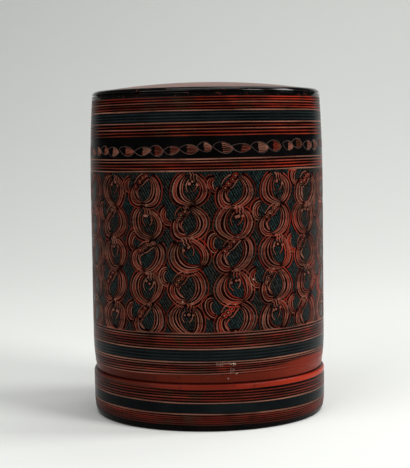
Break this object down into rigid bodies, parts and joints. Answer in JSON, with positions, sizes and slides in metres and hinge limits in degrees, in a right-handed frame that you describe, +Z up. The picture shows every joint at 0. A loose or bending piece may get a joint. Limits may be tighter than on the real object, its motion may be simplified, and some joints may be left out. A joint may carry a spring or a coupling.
{
  "type": "lacquer betel box",
  "caption": "Tall round lacquered bamboo box: a deep engraved cover with a domed top slides over an inner drum on a ledged base, with stacking trays inside.",
  "frame": {"origin": "centre of the foot, on the surface that the box stands on", "axes": "+Z up along the box's axis; the box is round, so X and Y are free"},
  "size_m": [0.1, 0.1, 0.141],
  "materials": {
    "engraved_lacquer": "gloss lacquer, engraved",
    "red_lacquer": "gloss lacquer",
    "black_lacquer": "gloss lacquer",
    "brown_lacquer": "gloss lacquer"
  },
  "bodies": {
    "base": {"foot_hoop": "black_lacquer", "base_band": "engraved_lacquer", "base_ledge": "red_lacquer", "drum_floor": "red_lacquer", "drum_wall": "red_lacquer", "drum_rim": "black_lacquer"},
    "lower_tray": {"lower_tray_spigot": "red_lacquer", "lower_tray_floor": "red_lacquer", "lower_tray_wall": "red_lacquer", "lower_tray_rim": "black_lacquer"},
    "upper_tray": {"upper_tray_spigot": "red_lacquer", "upper_tray_floor": "red_lacquer", "upper_tray_wall": "red_lacquer", "upper_tray_rim": "black_lacquer"},
    "cover": {"cover_lip": "red_lacquer", "cover_wall": "engraved_lacquer", "cover_rim": "black_lacquer", "cover_dome": "brown_lacquer"}
  },
  "joints": [
    {"name": "lower_tray_lift", "type": "slide", "parent": "base", "child": "lower_tray", "axis": [0, 0, 1], "range_m": [0, 0.06]},
    {"name": "upper_tray_lift", "type": "slide", "parent": "lower_tray", "child": "upper_tray", "axis": [0, 0, 1], "range_m": [0, 0.06]},
    {"name": "cover_lift", "type": "slide", "parent": "upper_tray", "child": "cover", "axis": [0, 0, 1], "range_m": [0, 0.15]}
  ]
}
